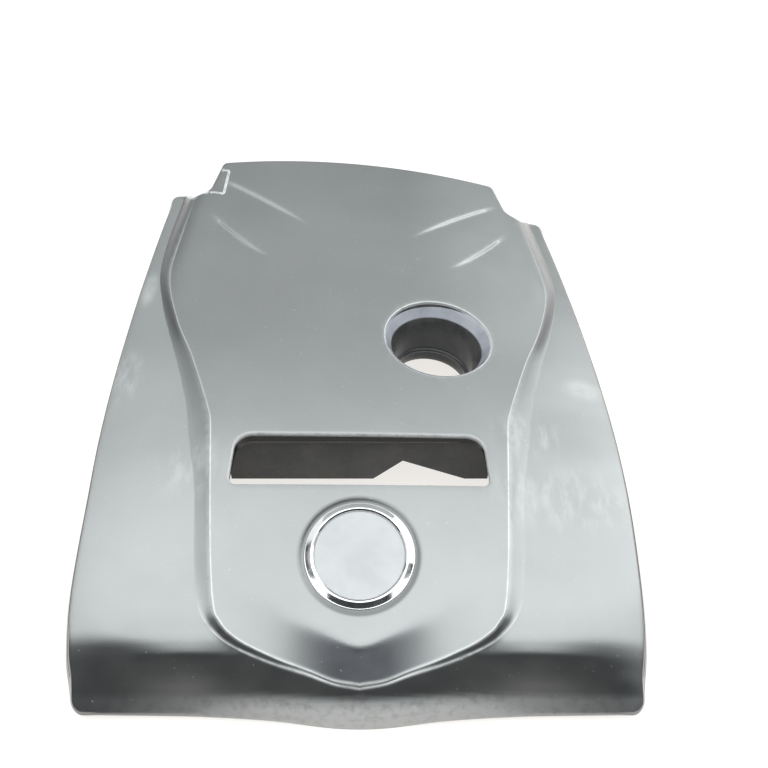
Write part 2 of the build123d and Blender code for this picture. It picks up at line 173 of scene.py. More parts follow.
# Patches of the top, as strength, middle and half sizes on the plan: one of painted shade, then scratched
# and rubbed ones
SHADE_PATCH = (0.25, (185, 215), (42, 30))
SCUFFS = ((0.45, (-206, 270), (14, 28)), (0.4, (160, 150), (60, 26)),
          (0.35, (-135, 172), (26, 24)), (0.35, (140, 205), (30, 22)))
RUBS = ((0.6, (-205, 388), (7, 22)), (0.45, (198, 267), (17, 12)))
# Painted faint bluish sheen on the keel's two facets
KEEL_SHEEN, KEEL_SHEEN_X_RUN, KEEL_SHEEN_RUN = 0.2, (15, 70), (-1, 4)
# Painted highlights along the edges, and how far under the top they, the crack's white line and the wear
# reach
SHOULDER_HIGHLIGHT, SHOULDER_HIGHLIGHT_LOSS = 0.9, ((0.45, (190, 230)), (0.35, (440, 540)))
FOOT_HIGHLIGHT, FOOT_HIGHLIGHT_RUN, EDGE_HIGHLIGHT_HALF = 0.85, (42, 75), 0.55
# Painted highlights round the openings, as strength, distance out from the rim and half width
SLOT_HIGHLIGHT, WELL_HIGHLIGHT = (0.7, 0.6, 0.7), (0.75, 0.4, 0.6)
# Painted reflection in a strip along the lip
LIP_SHEEN, LIP_SHEEN_RUN, LIP_SHEEN_LEFT, LIP_SHEEN_RIGHT, LIP_SHEEN_FOOT = 0.5, (7, 12), 115, 150, 1.5
CRACK_WHITE_HALF, CRACK_WHITE_POWER = 1.35, 8
SKIN_DEPTH, RIM_DEPTH, CRACK_DEPTH = 0.3, 2, 5.5

# Colours of the cover: plastic, dust with painted sheen, a painted bluish sheen, scratches, rubs, specks,
# painted edge highlights that also colour the crack's white line, and painted shade for the slot's walls
PLASTIC, DUST_SHEEN_COLOR = (0.013, 0.015, 0.016), (0.305, 0.320, 0.322)
PAINTED_SHEEN, SCRATCHED, RUBBED = (0.38, 0.40, 0.45), (0.46, 0.47, 0.47), (0.44, 0.45, 0.45)
SPECK, EDGE_HIGHLIGHT = (0.45, 0.45, 0.44), (0.72, 0.73, 0.73)
SLOT_SHADE = (0.004, 0.004, 0.005)
MOTTLE = (0.3, 0.7)

# Floor, light and camera, in metres and degrees
FLOOR_SIZE, FLOOR_SEEN, FLOOR_MIRRORED = 8, 0.8, 1.35
LAMP_TARGET, LAMP_COLOR = Vector((0, 0, 0.08)), (0.97, 1.0, 1.0)
# Lamps, as name, angle up from the rear horizon, angle to the right, distance, size and radiance
LAMPS = (
    ("overhead", 107, 0, 1.8, (4.0, 2.0), 2.6),
    ("rear", 57, 0, 2.0, (4.6, 1.25), 1.15),
    ("rear_low", 31, 0, 2.0, (4.6, 0.55), 0.5),
    ("rear_right", 55, 50, 2.1, (1.8, 1.4), 2.2),
    ("left", 90, -66, 2.2, (1.6, 0.9), 1.0),
    ("right", 90, 66, 2.2, (1.6, 0.9), 0.8),
)
# The camera was solved from the photo: its width, focal length and shift in pixels
PHOTO_PIXELS, FOCAL_PIXELS, SHIFT_PIXELS = 768, 823, 24.5
SENSOR, CAMERA_PLACE, CAMERA_TILT = 36, (0, -0.5376, 0.600), 45


# Curves and soft steps

def curve(points):
    """Smooth curve through (place, value) points that never overshoots them."""
    px, pv = (np.array(c, float) for c in zip(*points))
    rise = np.diff(pv) / np.diff(px)
    slope = np.concatenate(([rise[0]], np.zeros(len(rise) - 1), [rise[-1]]))
    same = rise[:-1] * rise[1:] > 0
    slope[1:-1][same] = 2 * rise[:-1][same] * rise[1:][same] / (rise[:-1] + rise[1:])[same]

    def value(place):
        place = np.clip(np.asarray(place, float), px[0], px[-1])
        i = np.clip(np.searchsorted(px, place, side="right") - 1, 0, len(rise) - 1)
        step = px[i + 1] - px[i]
        t = (place - px[i]) / step
        start = pv[i] * (1 + 2 * t) * (1 - t) ** 2 + slope[i] * step * t * (1 - t) ** 2
        return start + pv[i + 1] * t * t * (3 - 2 * t) + slope[i + 1] * step * t * t * (t - 1)

    return value


def ramp(value, start, end):
    """0 at the start, 1 at the end and straight between."""
    return np.clip((value - start) / (end - start), 0, 1)


def smooth(value, start, end):
    """0 at the start, 1 at the end and a soft step between."""
    t = ramp(value, start, end)
    return t * t * (3 - 2 * t)


def bell(distance, half, power=2):
    """1 at no distance, falling to 0 past the half width."""
    return np.exp(-((distance / half) ** power))


# Height of the panel and loss of height towards its sides
panel_height = curve(
    [(0, 49), (56, 62.9), (101, 74.6), (158, 88.6), (199, 97.5), (251, 103), (306, 106.5), (391, 111.5),
     (481, 117), (591, 122), (700, 126)]
)
panel_camber = curve([(101, 0), (199, 1), (306, 3), (391, 4.2), (481, 5.2), (591, 6)])
# Height of the flanks' surface in the middle of the cover and at its sides
spine_height = curve(
    [(0, 3), (4, 10), (8, 16), (16, 27), (22, 34.6), (31, 45.5), (39, 53), (48, 58), (60, 62.5),
     (95, 70), (130, 77.5), (192, 89), (250, 94), (300, 96), (390, 96.5), (480, 95), (580, 90)]
)
edge_height = curve(
    [(0, 9), (19, 24), (42, 40), (67, 51), (100, 60), (130, 67), (163, 73), (204, 78),
     (249, 81), (297, 82), (355, 82), (417, 81), (491, 79.5), (580, 76)]
)
# Extra height of the blunt nose over the middle of the lip
nose_height = curve(
    [(0, 0), (1.5, 4.6), (3, 7.5), (4.5, 8.6), (6.5, 8.8), (9, 8.4), (12, 7.8), (15, 7.0), (18, 6.4),
     (21, 5.8), (25, 5.2), (29, 4.6), (33, 3.0), (38, 1.0), (44, 0), (50, 0)]
)
# Extra height of the lip on each side of the nose
lip_height = curve([(0, 2.6), (4, 1.2), (8, 0.3), (12, 0), (20, 0)])
# Extra fullness of the apron on each side of the shield
apron_fullness = curve(
    [(0, 0), (10, 1), (16, 2.4), (22, 3.4), (28, 3.6), (34, 2.0), (40, 0.6), (46, 0), (50, 0)]
)
# Keel under the badge: extra slope of the shield's two front facets, by distance from the middle
keel_slope = curve([(0, 0.95), (18, 0.75), (36, 0.57), (57, 0.38), (90, 0.15), (108, 0.0)])
# Drop of the drafted strip outside a flank's crisp edge, by share of the way in from the outline
side_draft = curve([(0, 1.0), (0.4, 0.6), (0.75, 0.16), (0.86, 0.05), (0.94, 0.01), (1.0, 0.0)])


# Lines and loops on the plan

def spline(points, per_span):
    """Points along a smooth curve through the given ones."""
    p = np.array(points, float)
    p = np.vstack((2 * p[0] - p[1], p, 2 * p[-1] - p[-2]))
    out = []
    for i in range(1, len(p) - 2):
        t = np.linspace(0, 1, per_span, endpoint=False)[:, None]
        out.append(0.5 * (2 * p[i] + (p[i + 1] - p[i - 1]) * t
                          + (2 * p[i - 1] - 5 * p[i] + 4 * p[i + 1] - p[i + 2]) * t**2
                          + (3 * p[i] - p[i - 1] - 3 * p[i + 1] + p[i + 2]) * t**3))
    return np.vstack(out + [p[-2:-1]])


def both_sides(points):
    """Open line round the front, from its right half."""
    half = spline(points, EDGE_PER_SPAN) + (0, FRONT)
    left = half[:0:-1] * (-1, 1)
    return np.vstack((left, half))


def mirrored(half):
    """Closed loop from its right half."""
    return np.vstack((half, half[-2:0:-1] * (-1, 1)))


def closed(loop):
    return np.vstack((loop, loop[:1]))


def unit_circle(steps):
    turn = np.arange(steps) * 2 * pi / steps
    return np.column_stack((np.cos(turn), np.sin(turn)))


def segment_distance(x, y, line):
    """Distance of each point from an open line."""
    best = np.full(x.shape, 1e9)
    for (ax, ay), (bx, by) in zip(line[:-1], line[1:]):
        dx, dy = bx - ax, by - ay
        t = np.clip(((x - ax) * dx + (y - ay) * dy) / (dx * dx + dy * dy), 0, 1)
        best = np.minimum(best, (x - ax - t * dx) ** 2 + (y - ay - t * dy) ** 2)
    return np.sqrt(best)


def inside(x, y, loop):
    """Whether each point is inside a closed loop."""
    odd = np.zeros(x.shape, bool)
    for (ax, ay), (bx, by) in zip(loop, np.roll(loop, -1, axis=0)):
        if ay == by:
            continue
        odd ^= ((ay > y) != (by > y)) & (x < (bx - ax) * (y - ay) / (by - ay) + ax)
    return odd


def to_left(ahead, amount):
    """Steps to the left of the directions ahead."""
    ahead = ahead / np.hypot(*ahead.T)[:, None]
    return np.column_stack((-ahead[:, 1], ahead[:, 0])) * amount


def offset_loop(loop, amount):
    """Closed loop moved to its left, which is inwards."""
    return loop + to_left(np.roll(loop, -1, axis=0) - np.roll(loop, 1, axis=0), amount)


def beside(line, amount):
    """Open line moved to its left."""
    return line + to_left(np.gradient(line, axis=0), amount)


def rounded(chains, radii, step):
    """One line through chains of points, its corners between chains rounded."""
    chains = [np.array(c, float) for c in chains]
    arcs = []
    for i, r in enumerate(radii):
        a, b = chains[i], chains[i + 1]
        corner = a[-1]
        d1 = corner - a[-2]
        d1 /= np.hypot(*d1)
        d2 = b[1] - corner
        d2 /= np.hypot(*d2)
        turn = np.arctan2(d1[0] * d2[1] - d1[1] * d2[0], d1 @ d2)
        back = r * tan(abs(turn) / 2)
        start = corner - d1 * back
        centre = start + np.array((-d1[1], d1[0])) * r * np.sign(turn)
        sx, sy = start - centre
        angles = np.linspace(0, turn, max(int(r * abs(turn) / step), 4) + 1)
        arcs.append([centre + (sx * cos(w) - sy * sin(w), sx * sin(w) + sy * cos(w)) for w in angles])
        gap = back + 0.4 * step
        chains[i] = a[np.hypot(*(a - corner).T) > gap]
        chains[i + 1] = b[np.hypot(*(b - corner).T) > gap]
    out = [chains[0]]
    for arc, chain in zip(arcs, chains[1:]):
        out += [arc, chain]
    return np.vstack(out)


# Surfaces of the cover

shoulder, foot = both_sides(SHOULDER), both_sides(FOOT)
band = np.hypot(*(foot - shoulder).T)[:, None]
across_band = (foot - shoulder) / band
badge_y = FRONT + BADGE_PLACE
badge_z = float(panel_height(BADGE_PLACE))
badge_rise = panel_height(BADGE_PLACE + BADGE_RADIUS) - panel_height(BADGE_PLACE - BADGE_RADIUS)
badge_slope = atan(float(badge_rise) / (2 * BADGE_RADIUS))


def lean(place):
    """Sideways slope of the top, which grows towards the rear."""
    return tan(radians(ROLL)) * (np.maximum(place - ROLL_START, 0) / ROLL_SPAN) ** ROLL_POWER


def lip_y(x):
    return FRONT + LIP_BOW * (1 - bell(x, LIP_BOW_HALF))


def keel_start(x):
    """Place of the V-shaped crease where the keel's facets begin."""
    return KEEL_PLACE + KEEL_SWEEP * (np.sqrt(x * x + KEEL_BLUNT**2) - KEEL_BLUNT)


def panel_z(x, y):
    """Height of the raised panel with the keel at its front."""
    place = y - FRONT
    ax = np.abs(x)
    soft = KEEL_SOFT + KEEL_SOFTEN * ax
    drop = keel_slope(ax) * soft * np.logaddexp(0, (keel_start(x) - place) / soft)
    return panel_height(place) - panel_camber(place) * (x / CAMBER_HALF) ** 2 - x * lean(place) - drop


def flank_z(x, y):
    behind = y - lip_y(x)
    ax = np.abs(x)
    spine = spine_height(behind) + nose_height(behind) * bell(x, NOSE_HALF, 4)
    spine += apron_fullness(behind) * smooth(ax, *APRON_IN_RUN) * (1 - smooth(ax, *APRON_OUT_RUN))
    spine += lip_height(behind) * smooth(ax, *LIP_SIDE_RUN)
    share = (ax / (WIDTH / 2)) ** 4
    return spine + (edge_height(behind) - spine) * share - x * lean(y - FRONT)


def crease_line(points, u):
    """Place of a crease at a share of its way inwards."""
    (_, outer), (_, middle), (_, inner) = points
    return outer + (inner - outer) * u + 4 * (middle - (outer + inner) / 2) * u * (1 - u)


def crease_edges():
    """Lines along the creases, for the mesh to follow."""
    u = np.linspace(0, 1, CREASE_POINTS)
    lines = []
    for side, points in CREASES:
        x = side * (points[0][0] + (points[2][0] - points[0][0]) * u)
        y = FRONT + crease_line(points, u)
        lines += [np.column_stack((x, y + reach * CREASE_RUN / CREASE_LEAN)) for reach in CREASE_LINES]
    return lines


def crease_steps(x, y):
    """Small forward-facing steps in the rear of the panel, as a change of height."""
    place = y - FRONT
    total = np.zeros(x.shape)
    for side, points in CREASES:
        outer, inner = points[0][0], points[2][0]
        u = np.clip((outer - side * x) / (outer - inner), -CREASE_PAST, 1 + CREASE_PAST)
        behind = (place - crease_line(points, u)) * CREASE_LEAN
        along = smooth(ramp(u, *CREASE_OUTER_RUN) * ramp(u, *CREASE_INNER_RUN), 0, 1)
        rise = smooth(behind, -CREASE_RUN / 2, CREASE_RUN / 2)
        reach = np.exp(-np.maximum(-behind, 0) / CREASE_SINK) * (1 - rise)
        total -= CREASE_RISE * along * reach * (side * x > CREASE_CLEAR)
    return total


def crease_mask(x, y):
    """1 on the faces of the small rear steps, 0 away from them."""
    step = crease_steps(x, y + CREASE_PROBE) - crease_steps(x, y - CREASE_PROBE)
    return np.clip(step / CREASE_FULL, 0, 1)


def edge_lines(x, y):
    """Distances to the shoulder and the foot, and the share of the way from one to the other."""
    to_shoulder = segment_distance(x, y, shoulder)
    to_foot = segment_distance(x, y, foot)
    t = to_shoulder / np.maximum(to_shoulder + to_foot, 1e-6)
    return to_shoulder, to_foot, np.where(inside(x, y, shoulder), 0, np.where(inside(x, y, foot), t, 1))


def badge_distance(x, y):
    """Distance from the badge's tilted axis."""
    return np.hypot(x, (y - badge_y) / cos(badge_slope))


def top_z(x, y):
    """Height of the cover's outside, without its rounded edges."""
    place = y - FRONT
    to_shoulder, to_foot, t = edge_lines(x, y)
    shield = 1 - smooth(place, *SHIELD_RUN)
    haunch = smooth(place, *HAUNCH_RUN)
    within = np.clip(1 - to_shoulder / SHOULDER_ROUND, 0, 1) * (t == 0) + (t > 0) * (1 - t)
    panel = panel_z(x, y) + crease_steps(x, y) - SHOULDER_DROP * haunch * within**2
    power = BAND_POWER - BAND_SHIELD_POWER * shield - BAND_HAUNCH_POWER * haunch
    z = panel + (flank_z(x, y) - panel) * (1 - (1 - t) ** power)
    z -= BAND_HOLLOW * shield * 4 * t * (1 - t)
    z += (BEAD + SHIELD_BEAD * shield) * (1 - smooth(place, *BEAD_RUN)) * bell(to_shoulder, BEAD_HALF)
    z += FOOT_BEAD * shield * bell(to_foot, BEAD_HALF)
    dish = smooth(BADGE_DISH - badge_distance(x, y), 0, BADGE_DISH - BADGE_RADIUS)
    seat = badge_z + (y - badge_y) * tan(badge_slope) - DISH_DEPTH
    return z + (seat - z) * dish


def under_z(x, y):
    """Height of the cover's inside."""
    dx = (top_z(x + 1, y) - top_z(x - 1, y)) / 2
    dy = (top_z(x, y + 1) - top_z(x, y - 1)) / 2
    upright = WALL * np.minimum(np.sqrt(1 + dx * dx + dy * dy), WALL_STRETCH)
    return np.maximum(top_z(x, y) - upright, UNDER_LEAST)


# Outlines on the plan

def front_share(place):
    """1 along the front quarter of the sides, 0 at the lip and further back."""
    return smooth(place, *FLARE_IN_RUN) * (1 - smooth(place, *FLARE_OUT_RUN))


def side_x(place):
    """Half width of the cover between the lip and the flanks' ends."""
    ahead, behind = WIDEST - LIP_BOW, FLANK_LENGTH - WIDEST
    r_front = (ahead**2 + (WIDTH / 2 - FRONT_HALF) ** 2) / (WIDTH - 2 * FRONT_HALF)
    r_rear = (behind**2 + (WIDTH / 2 - FLANK_END_HALF) ** 2) / (WIDTH - 2 * FLANK_END_HALF)
    r = np.where(place < WIDEST, r_front, r_rear)
    return WIDTH / 2 - r + np.sqrt(r * r - (place - WIDEST) ** 2) + FRONT_FLARE * front_share(place)


leg_x = TAIL_HALF - TAIL_FLANGE
slot_rear = FRONT + SLOT_FRONT + SLOT_DEPTH


def plan_loop():
    """Plan of the cover, from the middle of the lip round to the right."""
    lip_x = np.linspace(0, FRONT_HALF, 64)
    recess = LIP_RECESS * (1 - bell(lip_x, LIP_LIFT_HALF))
    stops = (LIP_BOW, ARCH_START, ARCH_START + ARCH_ROUND, ARCH_END - ARCH_ROUND, ARCH_END, FLANK_LENGTH)
    spans = zip(stops, stops[1:], (40, 9, 56, 9, 30))
    places = np.concatenate([[LIP_BOW]] + [np.linspace(a, b, n)[1:] for a, b, n in spans])
    lip_end = (FRONT_HALF, lip_y(FRONT_HALF) + LIP_RECESS)
    tail_end, leg_end = (TAIL_HALF, REAR), (leg_x, REAR)
    notch = [(x, FRONT + place) for x, place in ((FLANK_END_HALF, FLANK_LENGTH), *NOTCH)] + [tail_end]
    half = rounded(
        [np.column_stack((lip_x, lip_y(lip_x) + recess)),
         np.vstack((lip_end, np.column_stack((side_x(places), FRONT + places))[3:])),
         *(np.linspace(a, b, 14) for a, b in zip(notch, notch[1:])),
         np.vstack((np.linspace(tail_end, leg_end, 6), np.linspace(leg_end, (0, REAR), 40)[1:]))],
        [FRONT_CORNER, FLANK_CORNER, *NOTCH_RADII, TAIL_CORNER], PLAN_STEP,
    )
    loop = mirrored(half)
    # The front sides sit a little to the left, as in the photo
    place = loop[:, 1] - FRONT
    right_share = (1 - smooth(place, *FLARE_OUT_RUN)) * smooth(loop[:, 0], *SHIFT_RUN)
    loop[:, 0] -= FRONT_SHIFT * np.where(loop[:, 0] > 0, right_share, front_share(place))
    return loop


def slot_loop():
    y0, y1 = FRONT + SLOT_FRONT, slot_rear
    top = SLOT_HALF - SLOT_TAPER
    return mirrored(rounded(
        [np.linspace((0, y0), (SLOT_HALF, y0), 40), np.linspace((SLOT_HALF, y0), (top, y1), 18),
         np.linspace((top, y1), (0, y1), 40)],
        SLOT_CORNERS, SLOT_STEP,
    ))


def crack_loop():
    """Slit along the crack, of wavering width."""
    half = (CRACK_HALF + CRACK_WAVER * np.sin(np.arange(len(crack_line)) * CRACK_WAVE))[:, None]
    half[0] = half[-1] = CRACK_TIP
    return np.vstack((beside(crack_line, half), beside(crack_line, -half)[::-1]))


def circle(radius):
    """Plan of a circle round the badge's axis."""
    return unit_circle(BADGE_STEPS) * radius * (1, cos(badge_slope)) + (0, badge_y)


plan = plan_loop()
plan_place = plan[:, 1] - FRONT
inner_plan = offset_loop(plan, WALL)
edge_z = top_z(plan[:, 0], plan[:, 1])
slot = slot_loop()
crack_line = spline(CRACK, CRACK_PER_SPAN) + (0, FRONT)
crack_white_line = np.vstack((
    np.array(WHITE_LINE_START) + (0, FRONT), crack_line, spline(WHITE_LINE_END, CRACK_PER_SPAN) + (0, FRONT)))
crack = crack_loop()
well_y = FRONT + WELL_PLACE
well_z = float(panel_z(WELL_X, well_y))


def well_circle(radius, height):
    """Points round the filler well's leaning axis, at a height along it."""
    u, v = (unit_circle(WELL_STEPS) * radius).T
    return np.column_stack((WELL_X + u * cos(WELL_LEAN) + height * sin(WELL_LEAN), well_y + v,
                            well_z - u * sin(WELL_LEAN) + height * cos(WELL_LEAN)))


def well_ring(radius, surface):
    """Plan of a ring about the well's axis where it meets a surface."""
    height = np.zeros(WELL_STEPS)
    for _ in range(WELL_FIT_ROUNDS):
        p = well_circle(radius, height)
        height += (surface(p[:, 0], p[:, 1]) - p[:, 2]) / cos(WELL_LEAN)
    return well_circle(radius, height)[:, :2]


def roll(depth, radius):
    """How far a rounded edge lies below the surface at a distance in from the edge."""
    return radius - np.sqrt(np.maximum(radius**2 - (radius - depth) ** 2, 0))


# Meshes

class Shape:
    """Vertices in millimetres and faces, gathered for one mesh."""

    def __init__(self):
        self.verts, self.faces, self.inner, self.pale = [], [], [], []

    # Vertices can be marked for painted light: sheen on the well's chamfer and shade on the slot's walls
    def add(self, points, inner=0.0, pale=0.0):
        """Adds a row of vertices and returns their indices."""
        start = len(self.verts)
        self.verts += [tuple(float(c) for c in p) for p in points]
        self.inner += [inner] * (len(self.verts) - start)
        self.pale += [pale] * (len(self.verts) - start)
        return list(range(start, len(self.verts)))

    def heights(self, row):
        return np.array([self.verts[i][2] for i in row])

    def bridge(self, a, b, is_closed=True):
        """Faces between two rows of the same length."""
        n = len(a)
        for i in range(n if is_closed else n - 1):
            j = (i + 1) % n
            face = [a[i], a[j], b[j], b[i]]
            face = [v for k, v in enumerate(face) if v != face[k - 1]]
            if len(face) > 2:
                self.faces.append(face)

    def loft(self, rows, is_closed=True):
        """Faces between each row and the next."""
        for a, b in zip(rows, rows[1:]):
            self.bridge(a, b, is_closed)


def skin(shape, height, outer_loops, holes, lines, grid, inner=0.0):
    """Triangles over the plan between its loops, each of which comes with its drop below the height.

    The mesh follows the lines. Returns the indices of the outermost loop and of each hole's edge.
    """
    points, edges, drops = [], [], []

    def lay(loop, drop, is_closed=True):
        start, n = len(points), len(loop)
        points.extend(map(tuple, loop))
        drops.extend(np.broadcast_to(drop, n))
        edges.extend((start + i, start + (i + 1) % n) for i in range(n if is_closed else n - 1))
        return list(range(start, start + n))

    rim = [lay(loop, drop) for loop, drop in outer_loops][0]
    hole_edges = [[lay(loop, drop) for loop, drop in rings][0] for rings in holes]
    limits = [(outer_loops[-1][0], True)] + [(rings[-1][0], False) for rings in holes]
    borders = [closed(loop) for loop, _ in limits]

    def is_clear(spots, gap, obstacles):
        """Whether each point is between the loops and away from the obstacles."""
        ok = np.ones(len(spots), bool)
        for loop, within in limits:
            ok &= inside(*spots.T, loop) == within
        for line in obstacles:
            ok &= segment_distance(*spots.T, line) > gap
        return ok

    # Lines, cut where they leave the skin
    for line in lines:
        ok = is_clear(line, LINE_CLEARANCE, borders)
        start = 0
        for i in range(len(line) + 1):
            if i == len(line) or not ok[i]:
                if i - start > 1:
                    lay(line[start:i], 0.0, is_closed=False)
                start = i + 1

    # Even grid of points between the lines
    for start, end, step in grid:
        rows = []
        for k, y in enumerate(np.arange(FRONT + start, FRONT + end, step * ROW_PITCH)):
            xs = np.arange(-WIDTH / 2, WIDTH / 2, step) + (step / 2 if k % 2 else 0)
            rows.append(np.column_stack((xs, np.full(len(xs), y))))
        dots = np.vstack(rows)
        dots = dots[is_clear(dots, GRID_CLEARANCE * step, lines + borders)]
        points.extend(map(tuple, dots))
        drops.extend([0.0] * len(dots))

    out, _, faces, origin, _, _ = delaunay_2d_cdt([Vector(p) for p in points], edges, [], 0, SAME_POINT)
    xy = np.array([tuple(v) for v in out])
    drop = np.array([drops[olds[0]] if olds else 0.0 for olds in origin])
    triangles = np.array(faces)
    middle = xy[triangles].mean(axis=1)
    ok = inside(*middle.T, outer_loops[0][0])
    for rings in holes:
        ok &= ~inside(*middle.T, rings[0][0])
    start = shape.add(np.column_stack((xy, height(*xy.T) - drop)), inner)[0]
    shape.faces += (start + triangles[ok]).tolist()
    index = {old: start + new for new, olds in enumerate(origin) for old in olds}
    return [index[i] for i in rim], [[index[i] for i in edge] for edge in hole_edges]


def cover_top(shape):
    """Outside of the cover with its rounded edges. Returns its rim and the edges of its holes."""
    thinner = LIP_EDGE_THINNER * (1 - smooth(plan_place, *LIP_EDGE_RUN))
    radius = np.clip(EDGE_SHARE * edge_z, EDGE_LEAST, EDGE_ROUND - thinner)
    along_side = smooth(np.abs(plan[:, 0]), *DRAFT_SIDE_RUN) * (1 - smooth(plan_place, *DRAFT_PLACE_RUN))
    outer = []
    for share in EDGE_STEPS:
        loop = offset_loop(plan, (radius * share)[:, None])
        rolled = roll(radius * share, radius)
        drafted = side_draft(share) * np.minimum(radius * DRAFT_DROP, DRAFT_SHARE * edge_z)
        outer.append((loop, rolled + (drafted - rolled) * along_side))
    slot_rings = [(offset_loop(slot, -SLOT_ROUND * k), roll(SLOT_ROUND * k, SLOT_ROUND)) for k in SLOT_RINGS]
    well_rings = [(well_ring(WELL_RADIUS + out, top_z), drop) for out, drop in WELL_EDGE]
    seat_rings = [(circle(radius), 0.0) for radius in SEAT_RINGS]
    inset = np.minimum(LINE_INSET, LINE_INSET_SHARE * band)
    reaches = [-out for out in EDGE_LINES[::-1]] + [0.0, inset] + [share * band for share in BAND_LINES]
    reaches += [band - inset, band] + [band + out for out in EDGE_LINES]
    lines = [shoulder + across_band * reach for reach in reaches]
    lines += [beside(crack_white_line[: len(crack_line) + 1], amount) for amount in CRACK_LINES]
    lines += crease_edges()
    return skin(shape, top_z, outer, [slot_rings, well_rings, seat_rings, [(crack, 0.0)]], lines, TOP_GRID)


def cover_inside(shape):
    """Inside of the cover, a wall further in. Returns its rim and the edges of its holes."""
    tube_top = well_ring(WELL_RADIUS - WELL_TUBE_STEP, under_z)
    return skin(
        shape, under_z, [(inner_plan, 0.0)],
        [[(offset_loop(slot, -WALL), 0.0)], [(tube_top, 0.0)], [(crack, 0.0)]],
        [shoulder * (INSIDE_SHOULDER, 1), foot], INSIDE_GRID, 1.0,
    )


def slot_walls(shape, top, under):
    """Walls of the slot, down to the collar's foot and up its outside, marked for a painted shade."""
    level = top_z(np.zeros(1), np.array([slot_rear])) - SLOT_COLLAR
    z_foot = np.minimum(level, shape.heights(under) - SLOT_COLLAR_LEAST)
    z_top = shape.heights(top)
    rows = [top]
    for k in SLOT_ROWS:
        rows.append(shape.add(np.column_stack((slot, z_top + (z_foot - z_top) * k)), inner=1.0, pale=1.0))
    for grow in (SLOT_FOOT_ROUND, WALL - SLOT_FOOT_ROUND):
        rows.append(shape.add(np.column_stack((offset_loop(slot, -grow), z_foot)), inner=1.0))
    shape.loft(rows + [under])


def filler_well(shape, top, under):
    """Inside of the filler well and outside of its tube, its chamfer marked for a painted pale bluish sheen.
    """
    rows = [top]
    for profile, chamfer in ((WELL_CHAMFER, 1.0), (WELL_TUBE, 0.0)):
        for radius, height in profile:
            rows.append(shape.add(well_circle(radius, height), inner=1.0 - chamfer, pale=chamfer))
    shape.loft(rows + [under])


def badge_seat(shape, edge):
    """Floor of the badge's seat, under the ring and the disc."""
    rows = [edge]
    for radius, height in SEAT_FLOOR:
        ring = circle(radius)
        z = badge_z + (ring[:, 1] - badge_y) * tan(badge_slope) + height / cos(badge_slope)
        rows.append(shape.add(np.column_stack((ring, z))))
    shape.loft(rows)
    shape.faces.append(rows[-1])


def skirts(shape, rim, inner_rim):
    """Sides: an upper strip all round, and a lower one where a foot or leg reaches the floor."""
    side = np.abs(plan[:, 0])
    on_side = (plan_place > ARCH_START - NEAR) & (plan_place < ARCH_END + NEAR)
    at_rear = plan_place > LENGTH - AT_REAR
    on_tail = at_rear & (side < leg_x + NEAR)
    at_end = (np.abs(plan_place - ARCH_START) < NEAR) | (np.abs(plan_place - ARCH_END) < NEAR)
    at_leg = on_tail & (np.abs(side - leg_x) < NEAR)
    on_foot = (~on_side & ~on_tail) | at_end | at_leg

    # The arch, whose ends are rounded, and the lifted lip
    arch_foot = ARCH_HEIGHT - ARCH_ROUND
    past = np.maximum(ARCH_START + ARCH_ROUND - plan_place, plan_place - ARCH_END + ARCH_ROUND)
    arch_z = arch_foot + np.sqrt(np.maximum(ARCH_ROUND**2 - np.maximum(past, 0) ** 2, 0))
    in_corner = on_side & (past > NEAR)
    z_rim = shape.heights(rim)
    low = np.maximum(np.minimum(LIP_LIFT, z_rim - LIP_FACE), z_rim - LIP_FACE_MOST)
    low = low * (1 - bell(side, LIP_LIFT_HALF)) * (plan_place < LIP_LIFT_DEPTH)

    # Upper strips, outside and inside
    strips = []
    for loop, top in ((plan, rim), (inner_plan, inner_rim)):
        z_top = shape.heights(top)
        z_skirt = np.maximum(SKIRT_MID * z_top, LIP_MID * low + (1 - LIP_MID) * z_top)
        z_mid = np.where(on_side, ARCH_HEIGHT, np.where(at_rear, edge_z - TAIL_FLANGE, z_skirt))
        rows = [top]
        for k in SKIRT_ROWS:
            rows.append(shape.add(np.column_stack((loop, z_top + (z_mid - z_top) * k))))
        shape.loft(rows)
        strips.append((rows[-1], z_mid))
    (mid_out, z_out), (mid_in, _) = strips

    # Vertices below the strips
    step_out, step_in, low_out, low_in = {}, {}, {}, {}
    for i, (outer, inner) in enumerate(zip(plan, inner_plan)):
        if on_foot[i]:
            level = arch_foot if on_side[i] else low[i] + 0.5 * (z_out[i] - low[i])
            step_out[i], step_in[i], low_out[i], low_in[i] = shape.add(
                [(*outer, level), (*inner, level), (*outer, low[i]), (*inner, low[i])])
        elif in_corner[i]:
            step_out[i], step_in[i] = shape.add([(*outer, arch_z[i]), (*inner, arch_z[i])])

    def hem(i, mid, step):
        """Lowest vertex of a column beside which there is no foot."""
        return step.get(i, mid[i]) if on_side[i] else mid[i]

    for i in range(len(plan)):
        j = (i + 1) % len(plan)
        if on_foot[i] and on_foot[j]:
            for mid, step, end in ((mid_out, step_out, low_out), (mid_in, step_in, low_in)):
                shape.faces.append([mid[i], mid[j], step[j], step[i]])
                shape.faces.append([step[i], step[j], end[j], end[i]])
            shape.faces.append([low_out[i], low_out[j], low_in[j], low_in[i]])
            continue
        hems = []
        for mid, step in ((mid_out, step_out), (mid_in, step_in)):
            a, b = hem(i, mid, step), hem(j, mid, step)
            face = [mid[i], mid[j]] + ([b] if b != mid[j] else []) + ([a] if a != mid[i] else [])
            if len(face) > 2:
                shape.faces.append(face)
            hems.append((a, b))
        (a_out, b_out), (a_in, b_in) = hems
        shape.faces.append([a_out, b_out, b_in, a_in])

    # Ends of the feet and legs
    for i in np.flatnonzero(at_end | at_leg):
        if at_leg[i]:
            shape.faces.append([mid_out[i], step_out[i], step_in[i], mid_in[i]])
        shape.faces.append([step_out[i], low_out[i], low_in[i], step_in[i]])


